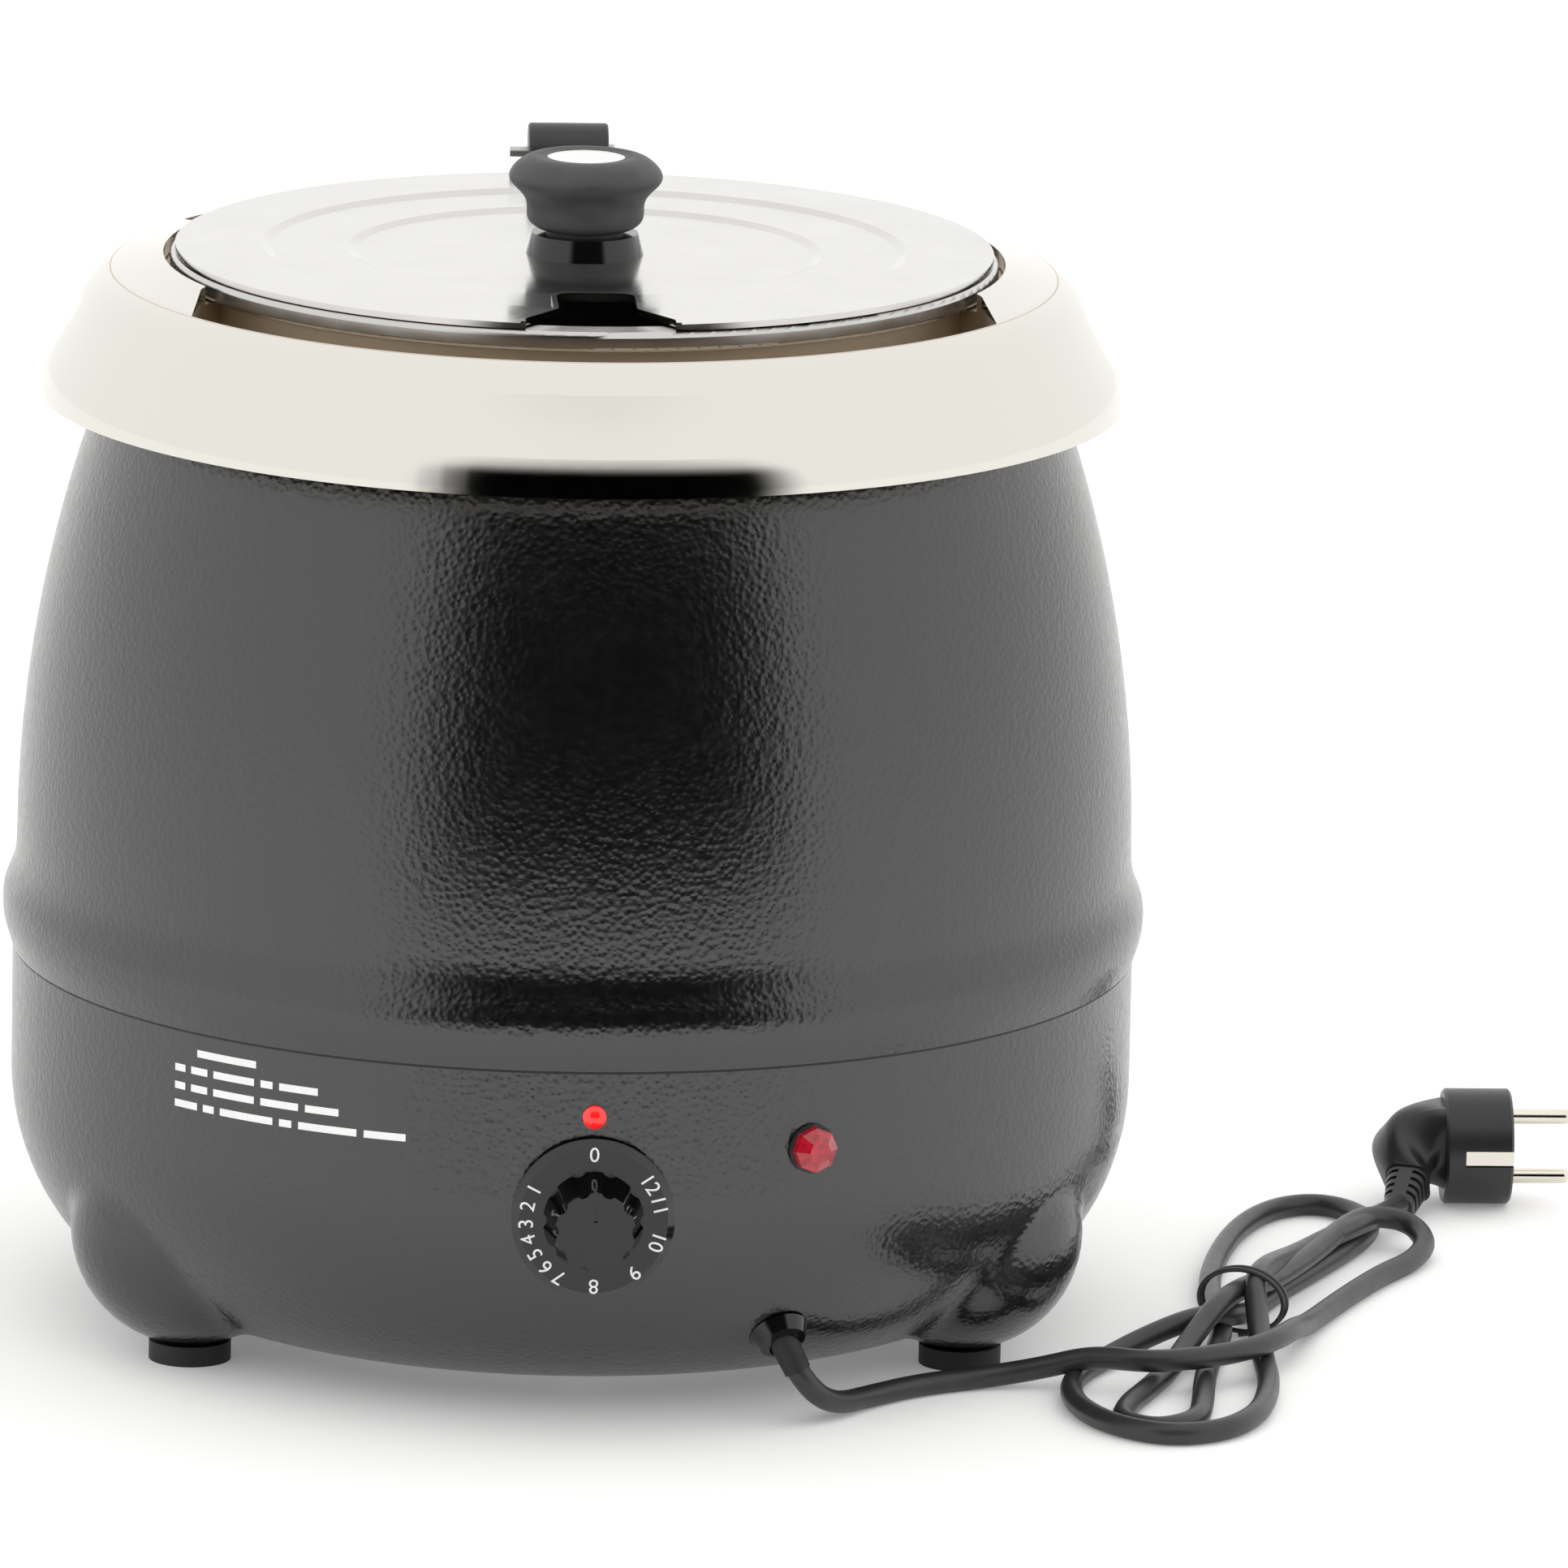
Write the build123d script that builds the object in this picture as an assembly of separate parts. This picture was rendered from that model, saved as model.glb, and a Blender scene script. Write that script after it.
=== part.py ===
from build123d import *
import os
from math import asin, cos, degrees, hypot, pi, radians, sin, sqrt, tan

# Electric soup kettle. Millimetres, +Z up. The origin is on the kettle's axis, on the surface that
# its feet stand on. The front, with the dial, faces -Y. Azimuths count from the front towards +X.

# ---- driving dimensions: outer casing -------------------------------------------------------
SHEET = 1.0                 # casing sheet
BASE_R = 169.0              # lower casing, outer radius of its straight wall
SEAM_Z = 113.6              # where the two casings meet
BEAD_OUT = 3.0              # how far the bead above the seam stands out
BEAD_H = 31.4               # height of the bead's bulge
UPPER_H = 172.4             # upper casing, seam to top
SHELL_TOP_R = 142.4         # upper casing, outer radius at its top
FLANGE_R = 121.0            # hole in the upper casing's top flange
SEAM_GAP = 0.8              # gasket between the casings
COLLAR_H = 6.0              # locating collar of the lower casing, above the seam
BOWL_R = 110.0              # flat underside, radius
BOWL_Z = 8.0                # flat underside, height above the table
BOWL_H = 67.0               # height of the curve from the underside to the straight wall
LEG_R = 36.0                # drawn leg bulge, spherical
LEG_Z = 41.0                # height of a leg bulge's centre
LEG_BLEND = 13.0            # concave blend between leg and bowl
LEG_AZIMUTHS = (-60.0, 60.0, 180.0)
FOOT_R = 12.3               # rubber foot
FOOT_H = 6.0
FOOT_STEM_R = 2.0           # foot's stem, through the leg
PLATE_OPENING_R = 96.0      # hole in the lower casing's underside
PLATE_LAP = 8.0             # base plate beyond that hole
PLATE_T = 1.2
PLATE_SCREWS = 6
# ---- ring, pot and lid -----------------------------------------------------------------------
RING_T = 1.2
RING_R = 163.5              # outer edge of the polished ring
RING_DROP = 35.0            # pot seat down to the ring's lower edge
RING_LIP = 5.0              # inward return of that edge
SEAT_RISE = 32.0            # casing top up to the pot seat
SEAT_R = 126.0              # rabbet that takes the pot's rim
POCKET_R = 141.5            # finger pockets, outer radius
POCKET_DEPTH = 12.0
POCKET_HALF = 57.0          # half angle at the pocket's outer edge
POCKET_END = 64.6           # half angle at the pocket's pointed ends
POCKET_TIP_R = 128.0        # radius of those ends
POT_R = 115.0               # inner pot, outside of its wall
POT_T = 1.2
POT_DEPTH = 226.0
POT_CORNER = 25.0
POT_RIM_R = 124.0
POT_RIM_H = 6.0
WELL_GAP = 2.0              # pot to well wall
WELL_T = 0.8
WELL_FLOOR_GAP = 12.0       # water under the pot
LID_R = 122.5
LID_T = 1.0
LID_RAISE = 2.1             # lid's rim above the pot's rim
LID_STEP_R = (95.0, 69.5)   # pressed rings
LID_STEP = 1.0
NOTCH_IN_R = 76.0           # inner end of the ladle notch
NOTCH_IN_W = 23.0
NOTCH_OUT_W = 44.0
NOTCH_BEAD = 1.6            # rolled edge round the notch
MOVING_GAP = 0.3            # between pieces of different bodies
# ---- knob and hinge --------------------------------------------------------------------------
COLLAR_R = 17.6
COLLAR_TOP_R = 15.9
COLLAR_T = 6.5
KNOB_R = 23.0
KNOB_H = 23.0
KNOB_CAP_R = 11.7
KNOB_CAP_SUNK = 1.4         # how deep the cap sits in the knob
LID_SCREW_R = 2.5
HINGE_W = 24.5
HINGE_R = 9.0               # lid's hinge barrel
HINGE_OUT = 7.0             # pin axis beyond the pot's rim
HINGE_UP = 6.7              # pin axis above the pot's rim
PIN_R = 1.6
PIN_RUN = 0.05              # running clearance of pins and spindles
TONGUE_R = 4.2
TONGUE_W = 10.0
LEAF_T = 2.6
LEAF_REACH = 24.0           # leaf, forward from the lid's edge
# ---- controls --------------------------------------------------------------------------------
DIAL_Z = 70.0
DIAL_R = 24.0
DIAL_SKIRT = 4.0
GRIP_R = 14.8
GRIP_TOP_R = 11.8
GRIP_H = 14.0
GRIP_LOBES = 10
SPINDLE_R = 3.0
BUSH_R = 5.0
DIAL_OFF = 0.9              # dial's back, off the casing
INDEX_Z = 100.0
INDEX_R = 3.5
PILOT_Z = 88.0
PILOT_R = 7.35
PILOT_AZIMUTH = 22.4
PILOT_BODY_R = 5.9
# ---- heater under the well -------------------------------------------------------------------
HEATER_R = 80.0
HEATER_ROD = 4.0
HEATER_GAP_DEG = 30.0
CLAMP_T = 1.5
TIE_R = 3.0                 # tie rods, well to base plate
TIE_CIRCLE_R = 94.0
TIE_FROM = 30.0             # azimuth of the first tie rod
# ---- mains lead ------------------------------------------------------------------------------
CORD_R = 3.4
GLAND_Z = 28.5
GLAND_AZIMUTH = 21.8
GLAND_R = 9.0
GLAND_AIM = (0.45, -0.15, -0.88)
RELIEF_OUT = 13.0           # strain relief outside the casing
RELIEF_IN = 11.0            # and inside it
LEAD_ROUTE = [(66.4, -145.8, 11.2), (73.5, -140.5, 5.0), (83.0, -129.0, 3.5), (98.0, -115.0, 3.5),
              (121.0, -104.5, 3.5), (147.0, -103.0, 3.5), (170.0, -101.0, 3.5)]
LEAD_END = (188.0, -92.0, 5.0)
TAIL_ROUTE = [(262.4, 101.0, 7.0), (260.5, 89.0, 6.0), (257.0, 78.0, 6.0), (252.0, 66.0, 6.5)]
PLUG_CENTRE = (289.0, 133.0, 18.2)
PLUG_R = 18.0
PLUG_L = 21.0
PLUG_PIN_R = 2.4
PLUG_PIN_L = 19.0
PLUG_PITCH = 19.0

# ---- heights and radii that follow -----------------------------------------------------------
SHELL_TOP_Z = SEAM_Z + UPPER_H
SEAT_Z = SHELL_TOP_Z + SEAT_RISE
POT_RIM_Z = SEAT_Z + MOVING_GAP
POT_TOP_Z = POT_RIM_Z + POT_RIM_H
LID_TOP_Z = POT_TOP_Z + LID_RAISE
LID_CENTRE_Z = LID_TOP_Z - 2 * LID_STEP
WELL_R = POT_R + WELL_GAP + WELL_T
NECK_R = WELL_R + 0.7
POT_FLOOR_Z = POT_TOP_Z - POT_DEPTH
WELL_FLOOR_Z = POT_FLOOR_Z - WELL_FLOOR_GAP
GASKET_T = 1.5
WELL_FLANGE_Z = SHELL_TOP_Z + GASKET_T
LEG_CIRCLE_R = BASE_R - LEG_R + 0.2
BOWL_TOP_Z = BOWL_Z + BOWL_H
PLATE_Z = BOWL_Z + SHEET
HINGE_Y = POT_RIM_R + HINGE_OUT
HINGE_Z = POT_TOP_Z + HINGE_UP
HEATER_Z = WELL_FLOOR_Z - HEATER_ROD
BASE = (Align.CENTER, Align.CENTER, Align.MIN)


# ---- helpers ---------------------------------------------------------------------------------
def rod(radius, low, high):
    """Round bar along Z."""
    return Pos(0, 0, low) * Cylinder(radius, high - low, align=BASE)


def pipe(outer, inner, low, high):
    """Tube along Z."""
    return rod(outer, low, high) - rod(inner, low - 1, high + 1)


def block(x_span, y_span, z_span):
    """Box between two corners."""
    size = [span[1] - span[0] for span in (x_span, y_span, z_span)]
    return Pos(x_span[0], y_span[0], z_span[0]) * Box(*size, align=(Align.MIN,) * 3)


def hexagon(radius, low, high):
    """Six-sided nut blank along Z."""
    return Pos(0, 0, low) * extrude(RegularPolygon(radius, 6), high - low)


def face_of(*parts):
    """Closed face from lines and curves."""
    return make_face([edge for part in parts for edge in part.edges()])


def lathe(face):
    """Turn an outline of radius and height about Z."""
    return revolve(Plane.XZ * face, Axis.Z)


def domed(radius, side, rise):
    """Disc along Z with a straight side and a spherical top."""
    ball = (radius ** 2 + rise ** 2) / (2 * rise)
    return rod(radius, 0, side + rise) & Pos(0, 0, side + rise - ball) * Sphere(ball)


def facing_out(solid, z, out, azimuth=0.0):
    """Set a piece made along +Z on the casing at a height, facing outwards."""
    seat = Plane(origin=(0, -out, z), x_dir=(1, 0, 0), z_dir=(0, -1, 0))
    return Rot(0, 0, azimuth) * (seat * solid)


def around(radius, azimuth, z=0.0):
    """Point on a circle about the axis."""
    return (radius * sin(radians(azimuth)), -radius * cos(radians(azimuth)), z)


def bowl_radius(z):
    """Outer radius of the lower casing's curved stretch at a height."""
    drop = max(0.0, BOWL_TOP_Z - z) / BOWL_H
    return BOWL_R + (BASE_R - BOWL_R) * sqrt(1 - drop * drop)


# ---- casing ----------------------------------------------------------------------------------
def upper_outline(inset):
    """Line of the upper casing: bead at the bottom, then a long curve to the top."""
    foot = BASE_R + 0.4 - inset
    bead = BASE_R + BEAD_OUT - inset
    shoulder = (BASE_R - 1.0 - inset, SEAM_Z + BEAD_H)
    bulge = Spline((foot, SEAM_Z), (bead - 0.2, SEAM_Z + 0.27 * BEAD_H), (bead - 0.3, SEAM_Z + 0.5 * BEAD_H),
                   shoulder, tangents=[(0.3, 1), (0, 1)])
    return bulge, TangentArc(shoulder, (SHELL_TOP_R - inset, SHELL_TOP_Z - inset), tangent=(0, 1))


def outer_shell():
    """Upper casing with its inward top flange."""
    outer_bulge, outer_wall = upper_outline(0)
    inner_bulge, inner_wall = upper_outline(SHEET)
    closing = Polyline(outer_wall @ 1, (FLANGE_R, SHELL_TOP_Z), (FLANGE_R, SHELL_TOP_Z - SHEET), inner_wall @ 1)
    shell = lathe(face_of(outer_bulge, outer_wall, closing, inner_wall, inner_bulge,
                          Line(inner_bulge @ 0, outer_bulge @ 0)))
    return shell - flange_screws()


def bowl(inset, top):
    """Solid inside the lower casing's line, with its three leg bulges."""
    radii = (BASE_R - BOWL_R - inset, BOWL_H - inset)
    curve = EllipticalCenterArc((BOWL_R, BOWL_TOP_Z), *radii, start_angle=270, arc_size=90)
    sides = Polyline(curve @ 1, (BASE_R - inset, top), (0, top), (0, BOWL_Z + inset), curve @ 0)
    leg_low = FOOT_H + inset
    leg_ball = Pos(0, -LEG_CIRCLE_R, LEG_Z) * Sphere(LEG_R - inset)
    leg = leg_ball & rod(2 * BASE_R, leg_low, LEG_Z + LEG_R)
    solid = lathe(face_of(curve, sides)) + [Rot(0, 0, azimuth) * leg for azimuth in LEG_AZIMUTHS]
    return fillet(solid.edges().filter_by(GeomType.BSPLINE), LEG_BLEND + inset)


def lower_shell():
    """Lower casing: straight wall, curved bowl, legs and the holes for what it carries."""
    rim = SEAM_Z - SEAM_GAP
    shell = bowl(0, rim) - bowl(SHEET, rim + 1) - rod(PLATE_OPENING_R, 0, BOWL_Z + 2 * SHEET)
    shell += pipe(BASE_R - SHEET, BASE_R - 2 * SHEET, rim - COLLAR_H, SEAM_Z + COLLAR_H)
    shell -= facing_out(rod(BUSH_R, -10, 10), DIAL_Z, BASE_R)
    shell -= facing_out(rod(INDEX_R - 0.6, -10, 10), INDEX_Z, BASE_R)
    shell -= facing_out(rod(PILOT_BODY_R, -10, 10), PILOT_Z, BASE_R, PILOT_AZIMUTH)
    shell -= gland_axis() * rod(GLAND_R - 3, -12, 12)
    for azimuth in LEG_AZIMUTHS:
        shell -= Pos(*around(LEG_CIRCLE_R, azimuth)) * rod(FOOT_STEM_R, 0, 20)
    return shell - plate_screws()


def seam_gasket():
    """Thin black ring that the upper casing stands on."""
    return pipe(BASE_R, BASE_R - SHEET, SEAM_Z - SEAM_GAP, SEAM_Z)


def base_plate():
    """Removable bottom with rows of vents."""
    plate = rod(PLATE_OPENING_R + PLATE_LAP, PLATE_Z, PLATE_Z + PLATE_T)
    slot = extrude(SlotOverall(34, 4), PLATE_T + 2)
    for row in range(6):
        plate -= Rot(0, 0, row * 60) * (Pos(52, 0, PLATE_Z - 1) * slot)
        plate -= Rot(0, 0, row * 60 + 30) * (Pos(40, 0, PLATE_Z - 1) * slot)
    for azimuth in (TIE_FROM, TIE_FROM + 120, TIE_FROM + 240):
        plate -= Pos(*around(TIE_CIRCLE_R - PLATE_LAP, azimuth)) * rod(TIE_R, PLATE_Z - 1, PLATE_Z + 3)
    return plate - plate_screws()


def plate_screws():
    """Pan screws that hold the base plate, driven from below."""
    screw = rod(3.5, BOWL_Z - 1.8, BOWL_Z) + rod(1.8, BOWL_Z - 1, PLATE_Z + PLATE_T + 5)
    circle = PLATE_OPENING_R + PLATE_LAP / 2
    return Compound([Pos(*around(circle, index * 360 / PLATE_SCREWS)) * screw for index in range(PLATE_SCREWS)])


def rubber_feet():
    """Three round feet, each with a stem that goes up through its leg."""
    foot = rod(FOOT_R, 0, FOOT_H) + rod(FOOT_STEM_R, FOOT_H, FOOT_H + SHEET + 5)
    return [Pos(*around(LEG_CIRCLE_R, azimuth)) * foot for azimuth in LEG_AZIMUTHS]


def foot_nuts():
    """Push-on nut on each foot's stem, inside the leg."""
    nut = pipe(4.5, FOOT_STEM_R, FOOT_H + SHEET, FOOT_H + SHEET + 2.4)
    return Compound([Pos(*around(LEG_CIRCLE_R, azimuth)) * nut for azimuth in LEG_AZIMUTHS])


# ---- ring and well ---------------------------------------------------------------------------
def ring_region():
    """Region under the ring's polished surface, rabbet and neck: four smooth arcs over the crown."""
    edge = (RING_R, SEAT_Z - RING_DROP)
    skirt = TangentArc(edge, (RING_R - 3, SEAT_Z - 24), tangent=(0, 1))
    slope = TangentArc(skirt @ 1, (RING_R - 12.5, SEAT_Z - 7), tangent=skirt % 1)
    shoulder = TangentArc(slope @ 1, (RING_R - 23.5, SEAT_Z + 1.5), tangent=slope % 1)
    crown = TangentArc(shoulder @ 1, (SEAT_R, SEAT_Z + POT_RIM_H - 0.5), tangent=shoulder % 1)
    foot_z = WELL_FLANGE_Z + WELL_T
    neck = [(SEAT_R, SEAT_Z), (NECK_R, SEAT_Z), (NECK_R, foot_z), (NECK_R + 2 * RING_T, foot_z)]
    return face_of(skirt, slope, shoulder, crown, Polyline(crown @ 1, *neck, edge))


def pocket(grow):
    """Crescent pocket at the front, sunk beside the pot's rim for fingers; grow gives its walls."""
    wider = degrees(grow / POCKET_R)
    outer = [around(POCKET_R + grow, angle)[:2] for angle in (-POCKET_HALF - wider, 0, POCKET_HALF + wider)]
    tip = around(POCKET_TIP_R + grow, POCKET_END + wider)[:2]
    inside = around(NECK_R + RING_T - grow, POCKET_END + 2 + wider)[:2]
    mirrored = [(-x, y) for x, y in (inside, tip)]
    inner = ThreePointArc(inside, (0, grow - NECK_R - RING_T), mirrored[0])
    plan = face_of(ThreePointArc(*outer), Polyline(outer[2], tip, inside), inner, Polyline(*mirrored, outer[0]))
    floor = SEAT_Z - POCKET_DEPTH - grow
    return Pos(0, 0, floor) * extrude(plan, POCKET_DEPTH + 2 * POT_RIM_H + grow)


def top_ring():
    """Polished ring: curved crown, rabbet for the pot, neck and two finger pockets."""
    region = ring_region()
    whole = lathe(region)
    hollow = lathe(offset(region, -RING_T, kind=Kind.INTERSECTION))
    opening = pipe(RING_R - RING_LIP, NECK_R + RING_T, SEAT_Z - RING_DROP - 2, SHELL_TOP_Z + 8)
    for turn in (0, 180):
        hollow -= Rot(0, 0, turn) * pocket(RING_T)
    ring = whole - hollow - opening
    for turn in (0, 180):
        ring -= Rot(0, 0, turn) * pocket(0)
    return ring


def rim_gasket():
    """Silicone ring between the casing's flange and the well's flange."""
    return pipe(SEAT_R + 4, FLANGE_R, SHELL_TOP_Z, WELL_FLANGE_Z) - flange_screws()


def cup(outer, low, high, corner, wall):
    """Open pan with a rounded bottom corner."""
    def solid(radius, floor, top, bend):
        body = rod(radius, floor, top)
        return fillet(body.edges().group_by(Axis.Z)[0], bend)
    return solid(outer, low, high, corner) - solid(outer - wall, low + wall, high + 1, corner - wall)


def water_well():
    """Pan that holds the water bath and the pot, hung on the casing's flange."""
    pan = cup(WELL_R, WELL_FLOOR_Z, WELL_FLANGE_Z + WELL_T, POT_CORNER, WELL_T)
    pan += pipe(SEAT_R + 4, WELL_R - 0.1, WELL_FLANGE_Z, WELL_FLANGE_Z + WELL_T)
    return pan - flange_screws() - rod(LID_SCREW_R, WELL_FLOOR_Z - 1, WELL_FLOOR_Z + 2)


def flange_screws():
    """Six screws that join well, gasket and casing."""
    screw = rod(2.5, WELL_FLANGE_Z + WELL_T, WELL_FLANGE_Z + WELL_T + 1.6)
    screw += rod(1.5, SHELL_TOP_Z - 6, WELL_FLANGE_Z + WELL_T + 1)
    return Compound([Pos(*around(SEAT_R, 30 + index * 60)) * screw for index in range(6)])


# ---- pot, lid, hinge -------------------------------------------------------------------------
def inner_pot():
    """Lift-out soup pot with a thick rolled rim."""
    pot = cup(POT_R, POT_FLOOR_Z, POT_TOP_Z, POT_CORNER, POT_T)
    rim = pipe(POT_RIM_R, POT_R - POT_T, POT_RIM_Z, POT_TOP_Z)
    outer_edges = rim.edges().filter_by(GeomType.CIRCLE).sort_by(SortBy.RADIUS)[-2:]
    return pot + fillet(outer_edges, 1.6)


def notch_plan(grow):
    """Flared outline of the ladle notch."""
    inner, outer, rim = NOTCH_IN_W / 2 + grow, NOTCH_OUT_W / 2 + grow, LID_R + 12
    points = [(-inner, -NOTCH_IN_R + grow), (inner, -NOTCH_IN_R + grow), (inner, -100), (outer, -116),
              (outer, -rim), (-outer, -rim), (-outer, -116), (-inner, -100)]
    plan = make_face(Polyline(*points, close=True).edges())
    corners = [vertex for vertex in plan.vertices() if vertex.Y > -rim + 1]
    return fillet(corners, 5.0)


def lid():
    """Pressed lid: two stepped rings, a hem, and the ladle notch at the front."""
    step_out, step_in = LID_STEP_R
    top = [(0, LID_CENTRE_Z), (step_in - 1.5, LID_CENTRE_Z), (step_in + 1.5, LID_CENTRE_Z + LID_STEP),
           (step_out - 1.5, LID_CENTRE_Z + LID_STEP), (step_out + 1.5, LID_TOP_Z), (LID_R, LID_TOP_Z)]
    under = [(radius, z - LID_T) for radius, z in top]
    under[-1] = (LID_R - LID_T, LID_TOP_Z - LID_T)
    hem = [(LID_R, POT_TOP_Z + MOVING_GAP), (LID_R - LID_T, POT_TOP_Z + MOVING_GAP)]
    disc = lathe(face_of(Polyline(*top, *hem, *reversed(under), close=True)))
    bead_zone = extrude(notch_plan(NOTCH_BEAD) - notch_plan(0), LID_RAISE)
    bead = Pos(0, 0, LID_TOP_Z - LID_RAISE + 0.6) * bead_zone & rod(LID_R, 0, 2 * LID_TOP_Z)
    disc = disc - Pos(0, 0, LID_TOP_Z - 10) * extrude(notch_plan(0), 20) + bead
    return disc - rod(LID_SCREW_R, LID_CENTRE_Z - 5, LID_CENTRE_Z + 5) - leaf_rivets()


def knob_collar():
    """Glossy collar between lid and knob."""
    cone = Pos(0, 0, LID_CENTRE_Z) * Cone(COLLAR_R, COLLAR_TOP_R, COLLAR_T, align=BASE)
    return cone - rod(LID_SCREW_R, LID_CENTRE_Z - 1, LID_CENTRE_Z + COLLAR_T + 1)


def knob():
    """Mushroom knob, with a seat for its cap and a blind hole for the screw."""
    foot = LID_CENTRE_Z + COLLAR_T
    stem = Polyline((0, foot), (KNOB_CAP_R, foot), (KNOB_CAP_R, foot + 1))
    waist = Spline(stem @ 1, (14.3, foot + 1.6), (17.2, foot + 4.2), (17.7, foot + 9), (KNOB_R - 3.2, foot + 12.6),
                   (KNOB_R, foot + 16.9), (KNOB_R - 2, foot + 20.6), (KNOB_CAP_R + 1.6, foot + KNOB_H))
    top = Polyline(waist @ 1, (KNOB_CAP_R, foot + KNOB_H), (KNOB_CAP_R, foot + KNOB_H - KNOB_CAP_SUNK),
                   (0, foot + KNOB_H - KNOB_CAP_SUNK), (0, foot))
    return lathe(face_of(stem, waist, top)) - rod(LID_SCREW_R, foot - 1, foot + 12)


def knob_cap():
    """Slightly domed disc let into the top of the knob."""
    return Pos(0, 0, LID_CENTRE_Z + COLLAR_T + KNOB_H - KNOB_CAP_SUNK) * domed(KNOB_CAP_R, 1.2, 0.6)


def knob_screw():
    """Screw and washer that hold the knob from inside the lid."""
    under = LID_CENTRE_Z - LID_T
    screw = rod(7.5, under - 1, under) + rod(4.8, under - 3.6, under - 1) + rod(LID_SCREW_R, under - 2, under + 18)
    return screw - block((-4, 4), (-0.6, 0.6), (under - 4, under - 2.6))


def along_x(solid):
    """Turn a piece made along Z to lie along X on the hinge axis."""
    return Pos(0, HINGE_Y, HINGE_Z) * (Rot(0, 90, 0) * solid)


def hinge_base():
    """Clip on the pot's rim, with the tongue that carries the hinge pin."""
    top = HINGE_Z - HINGE_R - 2 * MOVING_GAP
    clip = block((-HINGE_W / 2, HINGE_W / 2), (POT_RIM_R - 3, HINGE_Y + 7), (POT_RIM_Z - 5, top))
    clip = fillet(clip.edges().filter_by(Axis.X).group_by(Axis.Y)[-1], 2.5)
    clip -= rod(POT_RIM_R, POT_RIM_Z, POT_TOP_Z + 20)
    tongue = block((-TONGUE_W / 2, TONGUE_W / 2), (HINGE_Y - TONGUE_R, HINGE_Y + TONGUE_R), (top - 2, HINGE_Z))
    tongue += along_x(rod(TONGUE_R, -TONGUE_W / 2, TONGUE_W / 2))
    return clip + tongue - along_x(rod(PIN_R, -30, 30)) - clip_screw()


def clip_screw():
    """Small screw that pinches the clip onto the rim."""
    screw = rod(1.6, -9, 0) + rod(3.2, 0, 1.8)
    return Pos(0, HINGE_Y + 7, POT_RIM_Z - 1.6) * (Rot(-90, 0, 0) * screw)


def hinge_pin():
    """Pin with a head, pressed into the clip's tongue."""
    return along_x(rod(PIN_R, -HINGE_W / 2 - 5.6, HINGE_W / 2 + 1.4) + rod(2.6, HINGE_W / 2 + 0.5, HINGE_W / 2 + 2))


def hinge_leaf():
    """Lid's half of the hinge: barrel, slotted for the tongue, and a flat leaf on the lid."""
    barrel = along_x(rod(HINGE_R, -HINGE_W / 2, HINGE_W / 2))
    barrel = fillet(barrel.edges().filter_by(GeomType.CIRCLE), 1.0)
    front = LID_R - LEAF_REACH
    leaf = block((-HINGE_W / 2 + 1, HINGE_W / 2 - 1), (front, HINGE_Y - 5), (LID_TOP_Z, LID_TOP_Z + LEAF_T))
    leaf = fillet(leaf.edges().filter_by(Axis.Z).group_by(Axis.Y)[0], 6)
    slot_w = TONGUE_W / 2 + MOVING_GAP
    slot = block((-slot_w, slot_w), (HINGE_Y - TONGUE_R - 0.6, HINGE_Y + 20), (HINGE_Z - 20, HINGE_Z + 6))
    return barrel + leaf - slot - along_x(rod(PIN_R + PIN_RUN, -30, 30)) - leaf_rivets()


def leaf_rivets():
    """Two rivets through leaf and lid."""
    top = LID_TOP_Z + LEAF_T
    rivet = rod(1.6, LID_TOP_Z - LID_T, top) + rod(2.8, top, top + 1.2)
    rivet += rod(2.8, LID_TOP_Z - LID_T - 1, LID_TOP_Z - LID_T)
    return Compound([Pos(x, LID_R - LEAF_REACH + 9, 0) * rivet for x in (-6, 6)])


# ---- controls --------------------------------------------------------------------------------
DIAL_FACE = DIAL_OFF + DIAL_SKIRT


def dial():
    """Dial skirt and grip, made along its own axis and set on the front."""
    skirt = lathe(face_of(Polyline((0, DIAL_OFF), (DIAL_R, DIAL_OFF), (DIAL_R, DIAL_OFF + 1.4),
                                   (DIAL_R - 2.2, DIAL_FACE), (0, DIAL_FACE), close=True)))
    grip = Pos(0, 0, DIAL_FACE) * Cone(GRIP_R, GRIP_TOP_R, GRIP_H, align=BASE)
    scoop = Rot(-degrees(asin((GRIP_R - GRIP_TOP_R) / GRIP_H)), 0, 0) * rod(2.6, -4, GRIP_H + 8)
    for index in range(GRIP_LOBES):
        turn = Rot(0, 0, (index + 0.5) * 360 / GRIP_LOBES)
        grip -= turn * (Pos(0, -GRIP_R - 1.4, DIAL_FACE + 1) * scoop)
    grip = grip - block((-0.6, 0.6), (3, GRIP_R), (DIAL_FACE + GRIP_H - 0.8, DIAL_FACE + GRIP_H + 1))
    hollow = rod(9.5, DIAL_OFF - 1, DIAL_OFF + 3.3) + rod(SPINDLE_R, 0, DIAL_FACE + 9)
    return facing_out(skirt + grip - hollow, DIAL_Z, BASE_R)


def thermostat_spindle():
    """Spindle that the dial turns."""
    return facing_out(rod(SPINDLE_R, -20, DIAL_FACE + 9), DIAL_Z, BASE_R)


def thermostat():
    """Thermostat body with its threaded bush, behind the casing."""
    body = block((-17, 17), (-17, 17), (-34, -8)) + rod(8, -8, -SHEET - 1.4) + rod(BUSH_R, -8, 3)
    terminals = [block((x - 3, x + 3), (-0.4, 0.4), (-42, -34)) for x in (-9, 9)]
    return facing_out(body + terminals - rod(SPINDLE_R + PIN_RUN, -21, 4), DIAL_Z, BASE_R)


def thermostat_nut():
    """Nut on the bush, outside the casing and under the dial."""
    return facing_out(hexagon(7.5, 0, 2.6) - rod(BUSH_R, -1, 4), DIAL_Z, BASE_R)


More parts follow.
